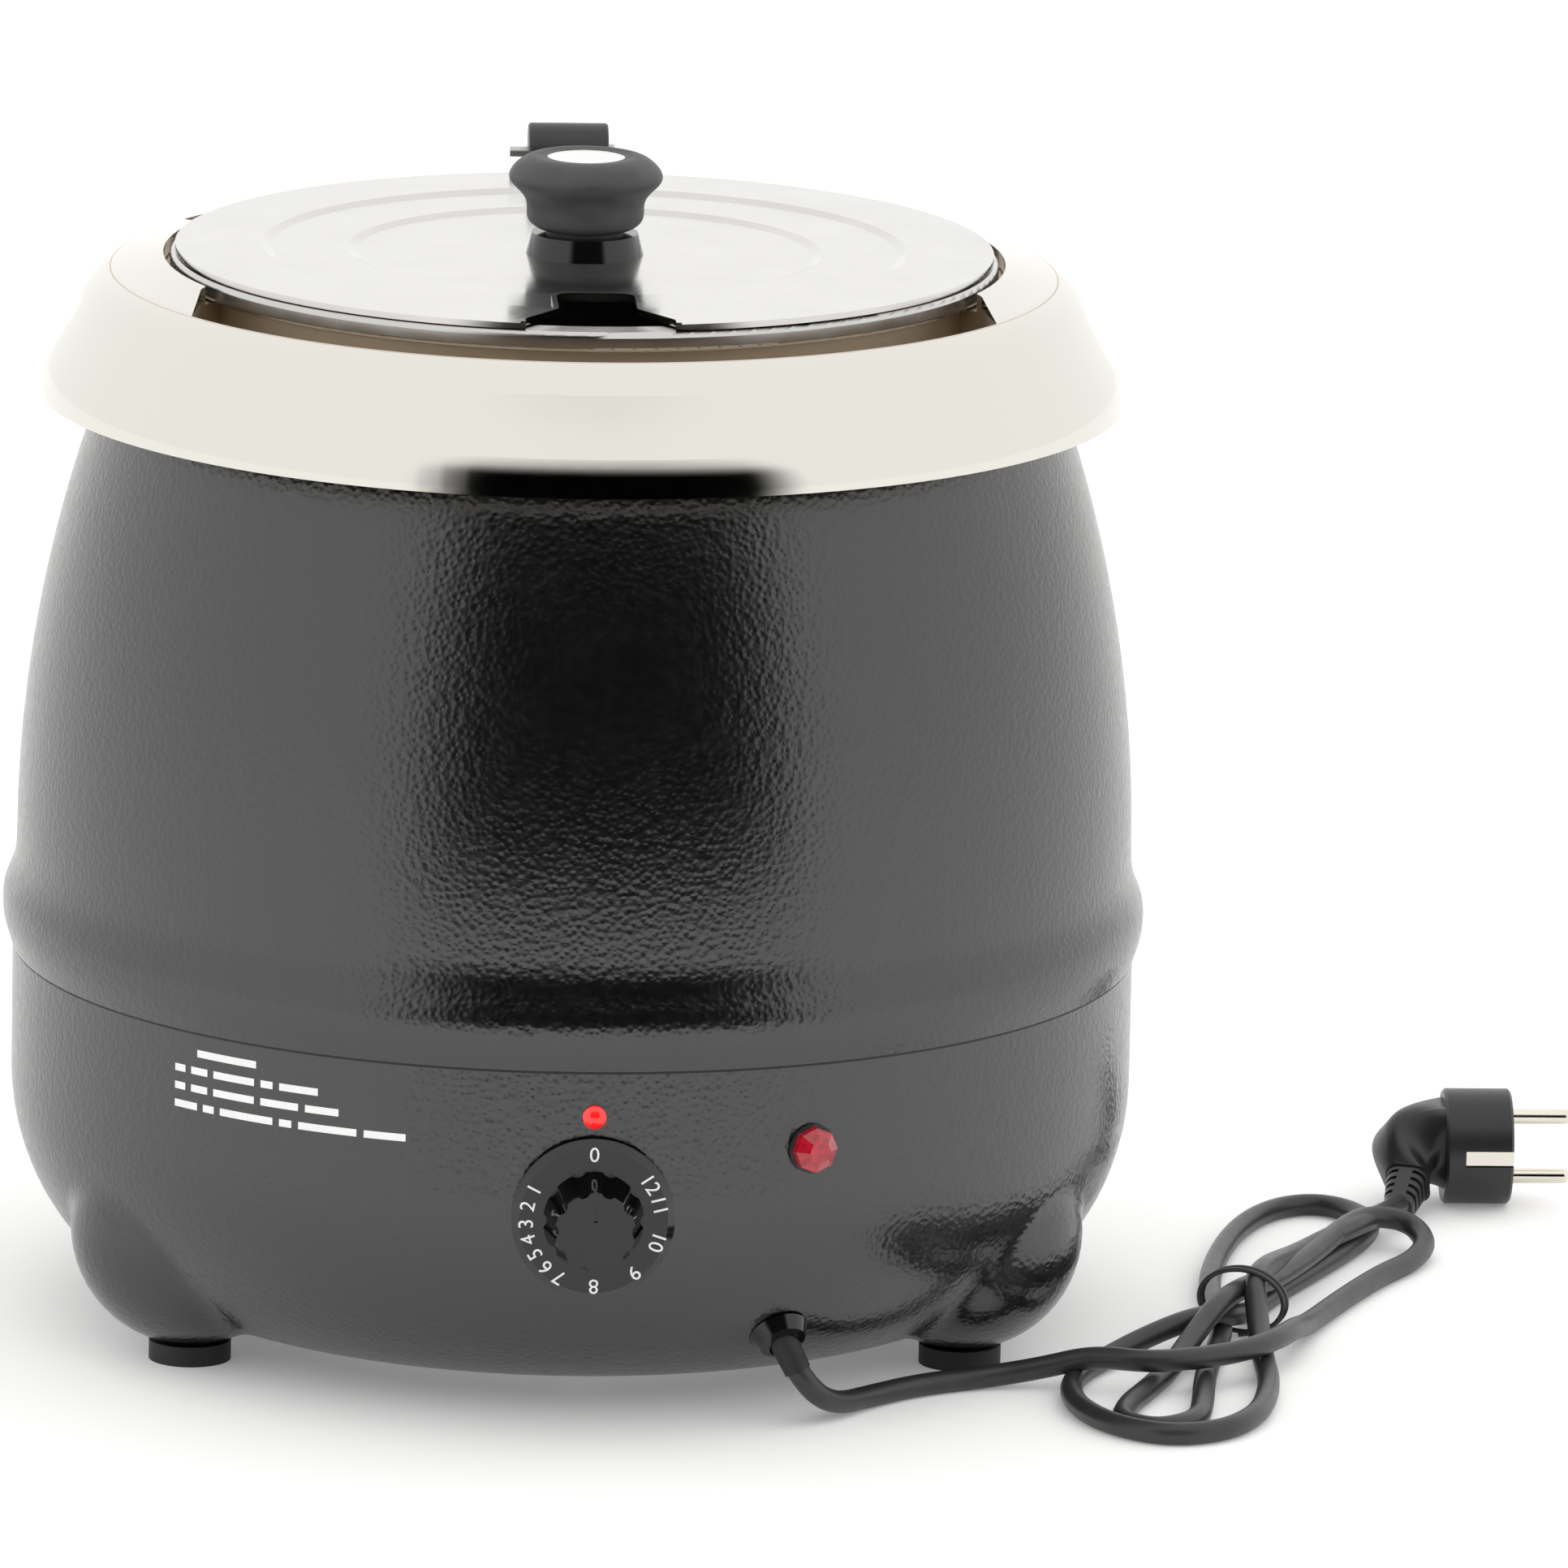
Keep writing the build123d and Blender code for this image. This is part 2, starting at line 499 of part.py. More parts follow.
def index_lamp():
    """Small red lamp over the dial: domed lens and its body behind."""
    lens = domed(INDEX_R, 0.8, 1.8)
    body = rod(INDEX_R - 0.6, -16, 0) + hexagon(5.5, -5.5, -3)
    return facing_out(lens, INDEX_Z, BASE_R), facing_out(body, INDEX_Z, BASE_R)


def pilot_lamp():
    """Power lamp: faceted jewel, black bezel and its body behind."""
    jewel = loft([Pos(0, 0, 1.2) * RegularPolygon(PILOT_R - 0.5, 8), Pos(0, 0, 3.6) * RegularPolygon(PILOT_R - 0.6, 8),
                  Pos(0, 0, 6.2) * RegularPolygon(PILOT_R - 4.0, 8)], ruled=True)
    bezel = pipe(PILOT_R, PILOT_BODY_R - 1.2, 0, 1.2)
    body = pipe(PILOT_BODY_R, PILOT_BODY_R - 1.2, -22, 0) + rod(PILOT_BODY_R, -24, -22)
    nut = hexagon(9.5, -5.5, -3) - rod(PILOT_BODY_R, -6, 0)
    return [facing_out(piece, PILOT_Z, BASE_R, PILOT_AZIMUTH) for piece in (jewel, bezel + body, nut)]


# ---- heater and what the base holds ----------------------------------------------------------
def at_heater_ends(solid):
    """The same piece at both ends of the heater's loop, at the back."""
    turn = HEATER_GAP_DEG / 2 + 2
    return [Pos(*around(HEATER_R, 180 + side * turn)) * solid for side in (-1, 1)]


def heating_element():
    """Bent tubular heater pressed against the well's floor, with its two cold ends."""
    half = HEATER_GAP_DEG / 2
    loop = CenterArc((0, 0, 0), HEATER_R, 90 + half, 360 - 2 * half)
    section = Plane(loop @ 0, z_dir=loop % 0) * Circle(HEATER_ROD)
    ring = Pos(0, 0, HEATER_Z) * sweep(section, path=loop)
    return ring + at_heater_ends(rod(2.2, HEATER_Z - 26, HEATER_Z))


def heater_clamp():
    """Plate that presses the heater up, with its bolt and nut through the well."""
    low = HEATER_Z - HEATER_ROD - CLAMP_T
    plate = rod(HEATER_R + 8, low, low + CLAMP_T) - at_heater_ends(rod(5, low - 1, low + 3))
    plate -= rod(LID_SCREW_R, low - 1, low + 3)
    bolt = rod(LID_SCREW_R, low - 6, WELL_FLOOR_Z + WELL_T) + hexagon(6, low - 4, low)
    return plate, bolt + rod(6, WELL_FLOOR_Z + WELL_T, WELL_FLOOR_Z + WELL_T + 2)


def tie_rods():
    """Three rods from the base plate up to brackets welded under the well."""
    rods = []
    for azimuth in (TIE_FROM, TIE_FROM + 120, TIE_FROM + 240):
        x, y, _ = around(TIE_CIRCLE_R - PLATE_LAP, azimuth)
        rods.append(Pos(x, y) * (rod(TIE_R, PLATE_Z - 2, HEATER_Z - 8) + hexagon(6, PLATE_Z + PLATE_T, PLATE_Z + 5)))
    return rods


def heat_shield():
    """Reflector tray under the heater, carried by the tie rods."""
    low = HEATER_Z - 22
    tray = cup(HEATER_R + 26, low, low + 8, 4, 0.6) - rod(16, low - 1, low + 3)
    tray -= at_heater_ends(rod(4, low - 1, low + 3))
    for azimuth in (TIE_FROM, TIE_FROM + 120, TIE_FROM + 240):
        tray -= Pos(*around(TIE_CIRCLE_R - PLATE_LAP, azimuth)) * rod(TIE_R, low - 1, low + 3)
    return tray


def thermal_cutout():
    """Snap-disc cut-out under the well's floor, inside the heater's ring."""
    low = WELL_FLOOR_Z - HEATER_ROD * 2
    return Pos(38, 20, 0) * rod(9, low, WELL_FLOOR_Z)


def terminal_block():
    """Three-way block on the base plate, near the cord's entry."""
    low = PLATE_Z + PLATE_T
    body = block((-16, 16), (-9, 9), (low, low + 14))
    for x in (-10, 0, 10):
        body -= Pos(x, 0, 0) * rod(2.6, low + 8, low + 15)
    return Rot(0, 0, GLAND_AZIMUTH) * (Pos(0, -70, 0) * body)


def capillary():
    """Thermostat bulb against the well and the capillary tube that joins it to the body."""
    x = 26.0
    wall = sqrt(WELL_R ** 2 - x ** 2)
    bulb = Pos(x, -wall - 4.2, DIAL_Z + 40) * rod(3.2, 0, 60)
    start = (9, -BASE_R + 34, DIAL_Z + 12)
    points = [start, (9, -BASE_R + 38, DIAL_Z + 12), (x, -wall - 4.2, DIAL_Z + 22), (x, -wall - 4.2, DIAL_Z + 41)]
    path = FilletPolyline(*points, radius=1.8)
    tube = sweep(Plane(path @ 0, z_dir=path % 0) * Circle(0.9), path=path)
    return tube + bulb


# ---- mains lead ------------------------------------------------------------------------------
def gland_axis():
    """Place on the casing where the cord leaves, with Z along the casing's own normal."""
    radius = bowl_radius(GLAND_Z)
    across = (radius - BOWL_R) / (BASE_R - BOWL_R) ** 2
    down = (GLAND_Z - BOWL_TOP_Z) / BOWL_H ** 2
    out = around(across, GLAND_AZIMUTH, down)
    return Plane(origin=around(radius, GLAND_AZIMUTH, GLAND_Z), z_dir=out)


def relief_axis():
    """Line of the strain relief, from the gland's centre."""
    return Plane(origin=around(bowl_radius(GLAND_Z), GLAND_AZIMUTH, GLAND_Z), z_dir=GLAND_AIM)


def cable_gland():
    """Flanged gland in the casing, with its clamping nut inside."""
    gland = Cone(GLAND_R, GLAND_R - 2, 4.0, align=BASE)
    gland += rod(GLAND_R - 3, -9, 0) + hexagon(GLAND_R + 1, -6.5, -3.5)
    return gland_axis() * gland - relief_axis() * rod(CORD_R + 1.5, -2 * RELIEF_IN, 30)


def strain_relief():
    """Tapered sleeve moulded round the cord."""
    cone = Pos(0, 0, -RELIEF_IN) * Cone(CORD_R + 1.5, CORD_R + 0.6, RELIEF_IN + RELIEF_OUT, align=BASE)
    return relief_axis() * (cone - rod(CORD_R, -RELIEF_IN - 1, RELIEF_OUT + 1))


def corner_radii(points):
    """Largest arc that each corner's two runs allow."""
    radii = []
    for before, here, after in zip(points, points[1:], points[2:]):
        arriving, leaving = Vector(*here) - Vector(*before), Vector(*after) - Vector(*here)
        half_turn = radians(arriving.get_angle(leaving)) / 2
        radii.append(0.45 * min(arriving.length, leaving.length) / tan(half_turn))
    return radii


def cord_tube(name, points):
    """Cord along straight runs and tangent arcs; prints its radii and compares its volume."""
    radii = corner_radii(points)
    path = FilletPolyline(*points, radius=radii)
    tube = sweep(Plane(path @ 0, z_dir=path % 0) * Circle(CORD_R), path=path)
    ratio = tube.volume / (pi * CORD_R ** 2 * path.length)
    print(name, "radii", [round(radius, 1) for radius in radii], "length", round(path.length, 1),
          "volume ratio", round(ratio, 4))
    return tube


def cord_lead():
    """Lead from the strain relief to the tied hank."""
    start = relief_axis().from_local_coords((0, 0, 0))
    exit_point = relief_axis().from_local_coords((0, 0, RELIEF_OUT))
    tube = cord_tube("cord_lead", [tuple(exit_point), *LEAD_ROUTE, LEAD_END])
    stub = relief_axis() * rod(CORD_R, -RELIEF_IN, RELIEF_OUT)
    print("cord exit", [round(value, 1) for value in (*exit_point, *start)])
    return tube + stub


def cord_tail():
    """Last stretch of cord, from the plug's boot back to the hank."""
    return cord_tube("cord_tail", TAIL_ROUTE)


def cord_hank():
    """Outer shape of the tied hank: flat bundle with a loose loop at each end."""
    bundle = Pos(210, -46, 1.2) * (Rot(0, 0, 66.8) * extrude(SlotOverall(236, 25), 18))
    low_loop = Pos(173, -102, 0.1) * (Rot(0, 0, -11) * extrude(Ellipse(31, 63), 2 * CORD_R))
    high_loop = Pos(229, 58, 0.1) * (Rot(0, 0, -12) * extrude(Ellipse(30, 62), 2 * CORD_R))
    return bundle + low_loop + high_loop


def cord_tie():
    """Thin wire tie round the middle of the hank."""
    band = block((-0.8, 0.8), (-14.5, 14.5), (0, 20.8)) - block((-1, 1), (-13, 13), (1.2, 19.6))
    return Pos(203, -33, 0) * (Rot(0, 0, 66.8) * band)


def plug():
    """Angled two-pin plug on its rim, with its side earth contacts."""
    x, y, z = PLUG_CENTRE
    head_at = Plane(origin=(x - PLUG_L / 2, y, z), x_dir=(0, 1, 0), z_dir=(1, 0, 0))
    head = chamfer(rod(PLUG_R, 0, PLUG_L).edges().filter_by(GeomType.CIRCLE), 0.8)
    notches = [block((side * PLUG_R - 2.2, side * PLUG_R + 2.2), (-2.6, 2.6), (6, PLUG_L + 1)) for side in (-1, 1)]
    back = Plane(origin=(x - PLUG_L / 2, y - 1, z + 1), x_dir=(0, 1, 0), z_dir=(-1, 0, 0))
    bend = Plane(origin=(x - 23, y - 6, z - 1), x_dir=(0.5, 1, 0), z_dir=(-0.7, -0.62, -0.35))
    mouth = Plane(origin=(266.5, 116.0, 10.4), x_dir=(1, -0.3, 0), z_dir=(-0.3, -0.87, -0.39))
    grip = loft([back * RectangleRounded(24, 26, 5), bend * RectangleRounded(18, 21, 5),
                 mouth * RectangleRounded(14, 14, 4)])
    body = head_at * (head - notches) + grip
    pins = [head_at * (Pos(0, side * PLUG_PITCH / 2, 0) * rod(PLUG_PIN_R, PLUG_L, PLUG_L + PLUG_PIN_L))
            for side in (-1, 1)]
    pins = [fillet(pin.edges().filter_by(GeomType.CIRCLE).sort_by(Axis.X)[-1], 1.8) for pin in pins]
    clips = [head_at * block((side * (PLUG_R - 1.6) - 0.6, side * (PLUG_R - 1.6) + 0.6), (-2.2, 2.2),
                             (6, PLUG_L)) for side in (-1, 1)]
    boot_way = Plane(origin=mouth.origin, x_dir=(1, -0.3, 0), z_dir=(-0.27, -0.9, -0.34))
    boot = boot_way * loft([RectangleRounded(13, 13, 4), Pos(0, 0, 15.5) * RectangleRounded(9.2, 9.2, 3.4)])
    for step in range(4):
        groove = block((2.2, 9), (-9, 9), (2.0 + 3.2 * step, 3.4 + 3.2 * step))
        boot -= boot_way * groove
        boot -= boot_way * (Rot(0, 0, 180) * groove)
    return body, Compound(pins), Compound(clips), boot


# ---- write the nodes -------------------------------------------------------------------------
def all_nodes():
    """Every sub-part by name."""
    index_lens, index_body = index_lamp()
    jewel, pilot_body, pilot_nut = pilot_lamp()
    clamp, clamp_bolt = heater_clamp()
    plug_body, plug_pins, earth_clips, plug_boot = plug()
    feet = dict(zip(("foot_left", "foot_right", "foot_rear"), rubber_feet()))
    rods = dict(zip(("tie_rod_right", "tie_rod_rear", "tie_rod_left"), tie_rods()))
    nodes = {
        "outer_shell": outer_shell(), "lower_shell": lower_shell(), "seam_gasket": seam_gasket(),
        "base_plate": base_plate(), "plate_screws": plate_screws(), "foot_nuts": foot_nuts(),
        "top_ring": top_ring(), "rim_gasket": rim_gasket(), "water_well": water_well(),
        "flange_screws": flange_screws(), "inner_pot": inner_pot(), "hinge_base": hinge_base(),
        "clip_screw": clip_screw(), "hinge_pin": hinge_pin(), "lid": lid(), "hinge_leaf": hinge_leaf(),
        "leaf_rivets": leaf_rivets(), "knob_collar": knob_collar(), "knob": knob(), "knob_cap": knob_cap(),
        "knob_screw": knob_screw(), "dial": dial(), "thermostat_spindle": thermostat_spindle(),
        "thermostat": thermostat(), "thermostat_nut": thermostat_nut(), "capillary": capillary(),
        "index_lens": index_lens, "index_lamp_body": index_body, "pilot_jewel": jewel,
        "pilot_lamp_body": pilot_body, "pilot_nut": pilot_nut, "heating_element": heating_element(),
        "heater_clamp": clamp, "clamp_bolt": clamp_bolt, "heat_shield": heat_shield(),
        "thermal_cutout": thermal_cutout(), "terminal_block": terminal_block(), "cable_gland": cable_gland(),
        "strain_relief": strain_relief(), "cord_lead": cord_lead(), "cord_hank": cord_hank(),
        "cord_tail": cord_tail(), "cord_tie": cord_tie(), "plug_body": plug_body, "plug_boot": plug_boot,
        "plug_pins": plug_pins, "plug_earth_clips": earth_clips,
    }
    return {**nodes, **feet, **rods}


os.makedirs("parts", exist_ok=True)
for node_name, solid in all_nodes().items():
    export_step(solid, f"parts/{node_name}.step")
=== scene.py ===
"""Studio scene of an electric soup kettle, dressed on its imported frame. Metres, +Z up, front towards -Y."""

import logging
from dataclasses import dataclass
from enum import Enum
from math import cos, pi, radians, sin
from typing import Iterable, Sequence

import bmesh
import bpy
from mathutils import Matrix, Vector


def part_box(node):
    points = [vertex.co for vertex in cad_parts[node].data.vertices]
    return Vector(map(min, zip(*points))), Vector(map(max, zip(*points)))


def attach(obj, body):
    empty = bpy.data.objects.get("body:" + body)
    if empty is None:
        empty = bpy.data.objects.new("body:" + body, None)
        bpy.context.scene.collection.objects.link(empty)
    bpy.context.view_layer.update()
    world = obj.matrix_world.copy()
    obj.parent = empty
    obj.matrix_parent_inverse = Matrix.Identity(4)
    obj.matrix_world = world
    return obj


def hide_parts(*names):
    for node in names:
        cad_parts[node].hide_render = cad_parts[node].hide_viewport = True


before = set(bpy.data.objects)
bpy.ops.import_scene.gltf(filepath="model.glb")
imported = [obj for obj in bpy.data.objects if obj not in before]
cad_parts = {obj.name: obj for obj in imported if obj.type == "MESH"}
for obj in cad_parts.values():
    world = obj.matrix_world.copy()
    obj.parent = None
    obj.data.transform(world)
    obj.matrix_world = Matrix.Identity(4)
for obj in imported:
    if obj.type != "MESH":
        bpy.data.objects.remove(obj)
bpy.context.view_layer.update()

logging.basicConfig(level=logging.INFO, format="%(message)s")
log = logging.getLogger("kettle")

Colour = tuple[float, float, float]
Point = tuple[float, float, float]
Socket = bpy.types.NodeSocket

MM = 0.001
BASE_RADIUS = 169.0 * MM  # outside of the lower casing
WHITE: Colour = (1.0, 1.0, 1.0)
BLACK: Colour = (0.0, 0.0, 0.0)


class Body(Enum):
    """Bodies of the frame that the added pieces ride on."""

    CASING = "casing"
    DIAL = "dial"


# ---- finishes --------------------------------------------------------------------------------
def scaled(colour: Colour, factor: float) -> Colour:
    """A colour made darker or lighter."""
    return tuple(factor * part for part in colour)


class Shader:
    """A Principled material, with short calls that add procedural nodes in object space."""

    noise_span = (0.3, 0.7)  # where nearly all of a noise's values lie

    def __init__(self, name: str, colour: Colour, roughness: float, metallic: float = 0.0) -> None:
        """Make the material and set the values that are the same all over.

        Args:
            name: the material's name.
            colour: linear base colour.
            roughness: roughness where nothing varies it.
            metallic: 1 for bare metal, 0 otherwise.
        """
        self.material = bpy.data.materials.new(name)
        self.material.use_nodes = True
        self.tree = self.material.node_tree
        self.principled = self.tree.nodes["Principled BSDF"]
        self.set("Base Color", (*colour, 1.0))
        self.set("Roughness", roughness)
        self.set("Metallic", metallic)
        self.coordinates = self.node("TexCoord", {}).outputs["Object"]
        self.normal: Socket | None = None

    def feed(self, target: Socket, value: object) -> None:
        """Link a socket to an input, or give the input a plain value."""
        if isinstance(value, Socket):
            self.tree.links.new(value, target)
        else:
            target.default_value = value

    def set(self, name: str, value: object) -> None:
        """Feed one input of the Principled shader."""
        self.feed(self.principled.inputs[name], value)

    def node(self, kind: str, inputs: dict[int | str, object], **settings: str) -> bpy.types.Node:
        """Add a node to the material.

        Args:
            kind: its type, without the leading "ShaderNode".
            inputs: a socket or a plain value for each input.
            settings: the node's own settings.

        Returns:
            The new node.
        """
        node = self.tree.nodes.new("ShaderNode" + kind)
        for setting, value in settings.items():
            setattr(node, setting, value)
        for key, value in inputs.items():
            self.feed(node.inputs[key], value)
        return node

    def stretched(self, factors: Point) -> Socket:
        """Object coordinates scaled unevenly, for drawn or brushed grain."""
        return self.node("Mapping", {"Vector": self.coordinates, "Scale": factors}).outputs["Vector"]

    def noise(self, size: float, detail: float = 2.0, vector: Socket | None = None) -> Socket:
        """Cloudy noise.

        Args:
            size: size of its features, in metres.
            detail: number of finer octaves.
            vector: coordinates other than the object's own.

        Returns:
            A value from 0 to 1.
        """
        inputs = {"Scale": 1 / size, "Detail": detail, "Vector": vector or self.coordinates}
        return self.node("TexNoise", inputs).outputs["Fac"]

    def pebbles(self, size: float, softness: float = 0.6) -> Socket:
        """Rounded cells of about that size, for a grained coat."""
        inputs = {"Scale": 1 / size, "Smoothness": softness, "Vector": self.coordinates}
        return self.node("TexVoronoi", inputs, feature="SMOOTH_F1").outputs["Distance"]

    def between(self, value: Socket, low: float, high: float) -> Socket:
        """Spread a noise over another range."""
        least, most = self.noise_span
        inputs = {"Value": value, "From Min": least, "From Max": most, "To Min": low, "To Max": high}
        return self.node("MapRange", inputs).outputs["Result"]

    def fade(self, position: Socket, clear: float, full: float) -> Socket:
        """A smooth change, from 0 at one value of a position to 1 at another."""
        rises = clear < full
        inputs = {"Value": position, "From Min": min(clear, full), "From Max": max(clear, full),
                  "To Min": 0.0 if rises else 1.0, "To Max": 1.0 if rises else 0.0}
        return self.node("MapRange", inputs, interpolation_type="SMOOTHSTEP").outputs["Result"]

    def math(self, operation: str, one: Socket, other: Socket | float) -> Socket:
        """Result of one operation on two values."""
        return self.node("Math", {0: one, 1: other}, operation=operation).outputs[0]

    def either_colour(self, value: Socket, one: Colour, other: Colour) -> Socket:
        """One colour where the value is 0 and the other where it is 1, by the mix node's colour sockets."""
        inputs = {0: value, 6: (*one, 1.0), 7: (*other, 1.0)}
        return self.node("Mix", inputs, data_type="RGBA").outputs[2]

    def either_value(self, value: Socket, one: Socket, other: float) -> Socket:
        """One number where the value is 0 and the other where it is 1."""
        return self.node("Mix", {0: value, 2: one, 3: other}).outputs[0]

    def vary_colour(self, noise: Socket, one: Colour, other: Colour) -> None:
        """Vary the base colour between two colours."""
        self.set("Base Color", self.either_colour(self.between(noise, 0, 1), one, other))

    def vary_roughness(self, noise: Socket, low: float, high: float) -> None:
        """Vary the roughness between two values."""
        self.set("Roughness", self.between(noise, low, high))

    def bump(self, height: Socket, depth: float, strength: float = 1.0) -> None:
        """Add relief of that depth in metres, on top of what relief there is."""
        inputs = {"Distance": depth, "Strength": strength, "Height": height}
        if self.normal is not None:
            inputs["Normal"] = self.normal
        self.normal = self.node("Bump", inputs).outputs["Normal"]
        self.set("Normal", self.normal)


@dataclass(frozen=True)
class PowderCoat:
    """Grained black coat on pressed steel: pebbles with a fine tooth on them."""

    name: str = "powder_coat"
    colour: Colour = (0.0028, 0.0028, 0.0032)
    lighter: float = 1.5
    patch: float = 18 * MM
    roughness: float = 0.20
    spread: tuple[float, float] = (-0.03, 0.05)
    smear: float = 3 * MM
    specular: float = 1.0
    pebble: float = 1.8 * MM
    relief: float = 0.13 * MM
    tooth: float = 0.6 * MM
    tooth_share: float = 0.5

    def material(self) -> bpy.types.Material:
        """Build the material."""
        shader = Shader(self.name, self.colour, self.roughness)
        shader.set("Specular IOR Level", self.specular)
        shader.vary_colour(shader.noise(self.patch, 4), self.colour, scaled(self.colour, self.lighter))
        low, high = (self.roughness + part for part in self.spread)
        shader.vary_roughness(shader.noise(self.smear, 3), low, high)
        shader.bump(shader.pebbles(self.pebble), self.relief)
        shader.bump(shader.noise(self.tooth), self.tooth_share * self.relief, self.tooth_share)
        return shader.material


@dataclass(frozen=True)
class Steel:
    """Bare metal: polished, drawn, brushed or plated, with faint smears."""

    name: str
    colour: Colour
    roughness: float
    spread: float
    draw: Point = (1.0, 1.0, 1.0)
    draw_size: float = 6 * MM
    draw_relief: float = 0.0
    darker: float = 0.94
    patch: float = 25 * MM
    smear: float = 14 * MM

    def material(self) -> bpy.types.Material:
        """Build the material."""
        shader = Shader(self.name, self.colour, self.roughness, 1.0)
        shader.vary_colour(shader.noise(self.patch, 3), scaled(self.colour, self.darker), self.colour)
        shader.vary_roughness(shader.noise(self.smear, 5), self.roughness, self.roughness + self.spread)
        if self.draw_relief:
            shader.bump(shader.noise(self.draw_size, 3, shader.stretched(self.draw)), self.draw_relief)
        return shader.material


@dataclass(frozen=True)
class RingSteel:
    """Polished steel of the ring, left dull where the finger pockets are pressed in, with painted shade
    there: a darker, warmer colour below the rim.
    """

    name: str = "ring_steel"
    colour: Colour = (0.67, 0.655, 0.61)
    roughness: float = 0.07
    spread: float = 0.03
    smear: float = 16 * MM
    # painted shade: the darker, warmer colour that the pockets below the rim take
    dull_colour: Colour = (0.60, 0.52, 0.42)
    dull_roughness: float = 0.52
    pocket_radius: float = 142.0 * MM
    pocket_top: float = 319.0 * MM

    def pockets(self, shader: Shader) -> Socket:
        """Make the mask that is 1 in the pockets: near the axis and below the rim."""
        parts = shader.node("SeparateXYZ", {0: shader.coordinates}).outputs
        level = shader.node("CombineXYZ", {"X": parts["X"], "Y": parts["Y"]}).outputs[0]
        radius = shader.node("VectorMath", {0: level}, operation="LENGTH").outputs["Value"]
        inside = shader.math("LESS_THAN", radius, self.pocket_radius)
        below = shader.math("LESS_THAN", parts["Z"], self.pocket_top)
        return shader.math("MULTIPLY", inside, below)

    def material(self) -> bpy.types.Material:
        """Build the material."""
        shader = Shader(self.name, self.colour, self.roughness, 1.0)
        pockets = self.pockets(shader)
        # painted shade: the pockets take the darker, warmer colour
        shader.set("Base Color", shader.either_colour(pockets, self.colour, self.dull_colour))
        polish = shader.between(shader.noise(self.smear, 5), self.roughness, self.roughness + self.spread)
        shader.set("Roughness", shader.either_value(pockets, polish, self.dull_roughness))
        return shader.material


@dataclass(frozen=True)
class Moulded:
    """Moulded plastic or rubber, with a fine skin and slight flow marks."""

    name: str
    colour: Colour
    roughness: float
    relief: float = 0.01 * MM
    lighter: float = 1.35
    coat: float = 0.0
    coat_roughness: float = 0.04
    duller: float = 1.15
    patch: float = 9 * MM
    smear: float = 5 * MM
    skin: float = 0.5 * MM

    def material(self) -> bpy.types.Material:
        """Build the material."""
        shader = Shader(self.name, self.colour, self.roughness)
        shader.set("Coat Weight", self.coat)
        shader.set("Coat Roughness", self.coat_roughness)
        shader.vary_colour(shader.noise(self.patch, 4), self.colour, scaled(self.colour, self.lighter))
        shader.vary_roughness(shader.noise(self.smear, 3), self.roughness, self.duller * self.roughness)
        shader.bump(shader.noise(self.skin), self.relief)
        return shader.material


@dataclass(frozen=True)
class Lens:
    """Red lens that glows a little from within: a lit lamp on the pilot, painted glow on the index mark,
    which is no lamp.
    """

    name: str
    colour: Colour
    glow: Colour
    strength: float
    patch: float
    darker: float = 0.35
    roughness: float = 0.06
    coat: float = 0.6
    coat_roughness: float = 0.03

    def material(self) -> bpy.types.Material:
        """Build the material."""
        shader = Shader(self.name, self.colour, self.roughness)
        shader.set("Emission Color", (*self.glow, 1.0))
        shader.set("Emission Strength", self.strength)
        shader.set("Coat Weight", self.coat)
        shader.set("Coat Roughness", self.coat_roughness)
        shader.vary_colour(shader.noise(self.patch), self.colour, scaled(self.colour, self.darker))
        return shader.material


class Look(Enum):
    """Every finish of the kettle."""

    COAT = PowderCoat()
    POLISHED = RingSteel()
    LID = Steel("lid_steel", (0.60, 0.595, 0.58), 0.12, 0.05, (1.0, 60.0, 60.0), 30 * MM, 0.004 * MM)
    DRAWN = Steel("drawn_steel", (0.56, 0.55, 0.53), 0.20, 0.08, (30.0, 30.0, 1.0), 30 * MM, 0.006 * MM)
    ZINC = Steel("zinc_plate", (0.52, 0.53, 0.54), 0.30, 0.12)
    NICKEL = Steel("nickel_pin", (0.78, 0.74, 0.66), 0.12, 0.06)
    HEATER = Steel("heater_sheath", (0.10, 0.095, 0.09), 0.42, 0.15)
    CAP = Steel("cap_silver", (0.83, 0.83, 0.83), 0.28, 0.06)
    GLOSS = Moulded("gloss_black", (0.003, 0.003, 0.0035), 0.10, relief=0.002 * MM, coat=0.1)
    BLACK = Moulded("black_plastic", (0.016, 0.016, 0.017), 0.38, relief=0.012 * MM)
    KNOB = Moulded("knob_grey", (0.038, 0.039, 0.042), 0.50, relief=0.012 * MM)
    RUBBER = Moulded("rubber", (0.009, 0.009, 0.009), 0.55, relief=0.02 * MM)
    SHEATH = Moulded("cord_sheath", (0.022, 0.022, 0.024), 0.36, relief=0.008 * MM)
    PLUG = Moulded("plug_black", (0.012, 0.012, 0.013), 0.33)
    SILICONE = Moulded("silicone", (0.26, 0.08, 0.05), 0.5)
    CERAMIC = Moulded("ceramic", (0.66, 0.63, 0.57), 0.45, relief=0.02 * MM, lighter=1.1)
    PRINT = Moulded("white_print", (0.78, 0.78, 0.78), 0.5, relief=0.004 * MM, lighter=1.05)
    WIRE = Moulded("tie_sleeve", (0.035, 0.035, 0.037), 0.4, relief=0.004 * MM)
    JEWEL = Lens("pilot_jewel_red", (0.38, 0.008, 0.022), (0.9, 0.02, 0.05), 0.12, 2 * MM)
    # painted glow: the index mark is a red plastic pin, not a lamp, and its emission is painted light
    INDEX = Lens("index_red_painted_glow", (0.85, 0.015, 0.015), (1.0, 0.02, 0.015), 0.55, 4 * MM)


MATERIALS: dict[Look, bpy.types.Material] = {}


def dressed(look: Look) -> bpy.types.Material:
    """The material of a finish, made the first time it is asked for."""
    if look not in MATERIALS:
        MATERIALS[look] = look.value.material()
    return MATERIALS[look]


